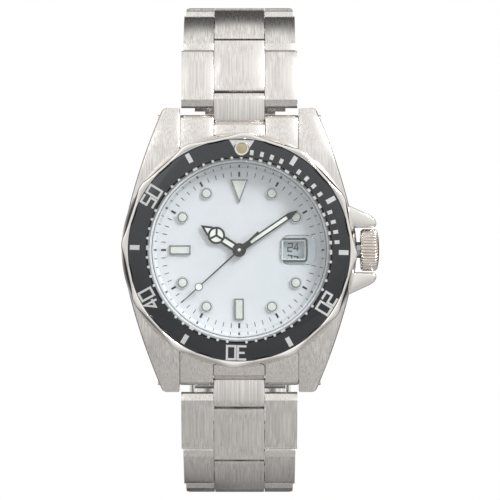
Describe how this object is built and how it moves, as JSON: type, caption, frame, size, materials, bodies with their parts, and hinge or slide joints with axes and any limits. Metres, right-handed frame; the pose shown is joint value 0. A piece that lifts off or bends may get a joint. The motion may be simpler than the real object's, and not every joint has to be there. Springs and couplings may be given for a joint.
{
  "type": "wristwatch",
  "caption": "Dive watch: round steel case with rotating black bezel, white dial with black hands and date lens, fluted crown, and a three-row link bracelet with a folding clasp.",
  "frame": {"origin": "centre of the case back's rear face, which lies on the wrist", "axes": "+Z towards 12 o'clock, +X towards the crown at 3 o'clock, +Y out of the case back, so the dial faces -Y"},
  "size_m": [0.043, 0.0584, 0.085],
  "materials": {
    "brushed_steel": "satin brushed",
    "polished_steel": "polished",
    "spring_steel": "ground",
    "movement_brass": "satin",
    "copper_wire": "enamelled wire",
    "hand_black": "black lacquer",
    "rotor_magnet": "sintered magnet",
    "insert_black": "gloss black",
    "dial_white": "satin white",
    "lume": "luminous paint",
    "crystal_glass": "clear",
    "seal_rubber": "matte",
    "holder_plastic": "moulded",
    "board_green": "solder mask"
  },
  "bodies": {
    "case": {"mid_case": "brushed_steel", "case_back": "brushed_steel", "case_back_gasket": "seal_rubber", "crystal": "crystal_glass", "date_magnifier": "crystal_glass", "crystal_gasket": "seal_rubber", "dial": "dial_white", "marker_12": "polished_steel", "marker_6": "polished_steel", "marker_9": "polished_steel", "date_frame": "dial_white", "chapter_ring": "dial_white", "case_tube": "spring_steel", "bezel_click_spring": "spring_steel", "movement_ring": "holder_plastic", "main_plate": "movement_brass", "train_bridge": "movement_brass", "circuit_board": "board_green", "battery": "spring_steel", "battery_strap": "spring_steel", "coil": "copper_wire", "stator": "spring_steel", "quartz_can": "spring_steel", "end_link_12": "brushed_steel", "end_link_6": "brushed_steel", "spring_bar_12": "spring_steel", "spring_bar_6": "spring_steel"},
    "bezel": {"bezel_ring": "polished_steel", "bezel_insert": "insert_black", "bezel_pearl": "lume"},
    "winding_pinion": {"winding_pinion": "movement_brass"},
    "crown": {"crown": "polished_steel", "setting_stem": "spring_steel", "crown_gasket": "seal_rubber"},
    "seconds": {"seconds_wheel": "movement_brass", "seconds_hand": "hand_black"},
    "minute": {"centre_wheel": "movement_brass", "minute_hand": "hand_black"},
    "hour": {"hour_wheel": "movement_brass", "hour_hand": "hand_black"},
    "third_wheel": {"third_wheel": "movement_brass"},
    "step_wheel": {"step_wheel": "movement_brass"},
    "rotor": {"rotor": "rotor_magnet"},
    "date_ring": {"date_ring": "dial_white"},
    "link_12_1": {"link_12_1": "brushed_steel"},
    "link_12_2": {"link_12_2": "brushed_steel"},
    "link_12_3": {"link_12_3": "brushed_steel"},
    "link_12_4": {"link_12_4": "brushed_steel"},
    "link_12_5": {"link_12_5": "brushed_steel"},
    "link_12_6": {"link_12_6": "brushed_steel"},
    "link_6_1": {"link_6_1": "brushed_steel"},
    "link_6_2": {"link_6_2": "brushed_steel"},
    "link_6_3": {"link_6_3": "brushed_steel"},
    "link_6_4": {"link_6_4": "brushed_steel"},
    "link_6_5": {"link_6_5": "brushed_steel"},
    "link_6_6": {"link_6_6": "brushed_steel", "clasp_spring_bar": "spring_steel"},
    "clasp_blade_inner": {"clasp_blade_inner": "polished_steel"},
    "clasp_blade_outer": {"clasp_blade_outer": "polished_steel"},
    "clasp_cover": {"clasp_cover": "polished_steel"}
  },
  "joints": [
    {"name": "bezel_turn", "type": "hinge", "parent": "case", "child": "bezel", "pos_m": [0, 0, 0], "axis": [0, 1, 0], "continuous": true},
    {"name": "crown_turn", "type": "hinge", "parent": "case", "child": "winding_pinion", "pos_m": [0.0115, -0.0042, 0], "axis": [1, 0, 0], "continuous": true},
    {"name": "crown_pull", "type": "slide", "parent": "winding_pinion", "child": "crown", "axis": [1, 0, 0], "range_m": [0, 0.0016]},
    {"name": "seconds_turn", "type": "hinge", "parent": "case", "child": "seconds", "pos_m": [0, 0, 0], "axis": [0, 1, 0], "continuous": true},
    {"name": "minute_turn", "type": "hinge", "parent": "case", "child": "minute", "pos_m": [0, 0, 0], "axis": [0, 1, 0], "continuous": true},
    {"name": "hour_turn", "type": "hinge", "parent": "case", "child": "hour", "pos_m": [0, 0, 0], "axis": [0, 1, 0], "continuous": true},
    {"name": "third_wheel_turn", "type": "hinge", "parent": "case", "child": "third_wheel", "pos_m": [-0.0022, 0, 0.0029], "axis": [0, 1, 0], "continuous": true},
    {"name": "step_wheel_turn", "type": "hinge", "parent": "case", "child": "step_wheel", "pos_m": [0.0026, 0, 0.00175], "axis": [0, 1, 0], "continuous": true},
    {"name": "rotor_turn", "type": "hinge", "parent": "case", "child": "rotor", "pos_m": [0.0043, 0, 0.0029], "axis": [0, 1, 0], "continuous": true},
    {"name": "date_turn", "type": "hinge", "parent": "case", "child": "date_ring", "pos_m": [0, 0, 0], "axis": [0, 1, 0], "continuous": true},
    {"name": "link_12_1_bend", "type": "hinge", "parent": "case", "child": "link_12_1", "pos_m": [0, -0.0022, 0.0252], "axis": [1, 0, 0], "range_deg": [0, 20]},
    {"name": "link_12_2_bend", "type": "hinge", "parent": "link_12_1", "child": "link_12_2", "pos_m": [0, 0.00108, 0.03422], "axis": [1, 0, 0], "range_deg": [0, 34]},
    {"name": "link_12_3_bend", "type": "hinge", "parent": "link_12_2", "child": "link_12_3", "pos_m": [0, 0.00885, 0.03986], "axis": [1, 0, 0], "range_deg": [0, 28]},
    {"name": "link_12_4_bend", "type": "hinge", "parent": "link_12_3", "child": "link_12_4", "pos_m": [0, 0.01836, 0.0412], "axis": [1, 0, 0], "range_deg": [0, 22]},
    {"name": "link_12_5_bend", "type": "hinge", "parent": "link_12_4", "child": "link_12_5", "pos_m": [0, 0.02767, 0.03888], "axis": [1, 0, 0], "range_deg": [0, 22]},
    {"name": "link_12_6_bend", "type": "hinge", "parent": "link_12_5", "child": "link_12_6", "pos_m": [0, 0.03544, 0.03323], "axis": [1, 0, 0], "range_deg": [0, 22]},
    {"name": "link_6_1_bend", "type": "hinge", "parent": "case", "child": "link_6_1", "pos_m": [0, -0.0022, -0.0252], "axis": [-1, 0, 0], "range_deg": [0, 20]},
    {"name": "link_6_2_bend", "type": "hinge", "parent": "link_6_1", "child": "link_6_2", "pos_m": [0, 0.00108, -0.03422], "axis": [-1, 0, 0], "range_deg": [0, 34]},
    {"name": "link_6_3_bend", "type": "hinge", "parent": "link_6_2", "child": "link_6_3", "pos_m": [0, 0.00885, -0.03986], "axis": [-1, 0, 0], "range_deg": [0, 28]},
    {"name": "link_6_4_bend", "type": "hinge", "parent": "link_6_3", "child": "link_6_4", "pos_m": [0, 0.01836, -0.0412], "axis": [-1, 0, 0], "range_deg": [0, 22]},
    {"name": "link_6_5_bend", "type": "hinge", "parent": "link_6_4", "child": "link_6_5", "pos_m": [0, 0.02767, -0.03888], "axis": [-1, 0, 0], "range_deg": [0, 22]},
    {"name": "link_6_6_bend", "type": "hinge", "parent": "link_6_5", "child": "link_6_6", "pos_m": [0, 0.03544, -0.03323], "axis": [-1, 0, 0], "range_deg": [0, 22]},
    {"name": "clasp_end_bend", "type": "hinge", "parent": "link_12_6", "child": "clasp_blade_inner", "pos_m": [0, 0.04053, 0.02509], "axis": [1, 0, 0], "range_deg": [0, 13]},
    {"name": "clasp_fold", "type": "hinge", "parent": "clasp_blade_inner", "child": "clasp_blade_outer", "pos_m": [0, 0.04412, -0.01466], "axis": [-1, 0, 0], "range_deg": [0, 150]},
    {"name": "clasp_cover_open", "type": "hinge", "parent": "clasp_blade_outer", "child": "clasp_cover", "pos_m": [0, 0.04351, 0.01984], "axis": [1, 0, 0], "range_deg": [0, 150]}
  ],
  "couplings": [
    {"joint": "minute_turn", "follows": "seconds_turn", "ratio": 0.016667},
    {"joint": "hour_turn", "follows": "seconds_turn", "ratio": 0.0013889},
    {"joint": "third_wheel_turn", "follows": "seconds_turn", "ratio": -0.12903},
    {"joint": "step_wheel_turn", "follows": "seconds_turn", "ratio": -5},
    {"joint": "rotor_turn", "follows": "seconds_turn", "ratio": 30},
    {"joint": "clasp_cover_open", "follows": "clasp_fold", "ratio": 1}
  ]
}
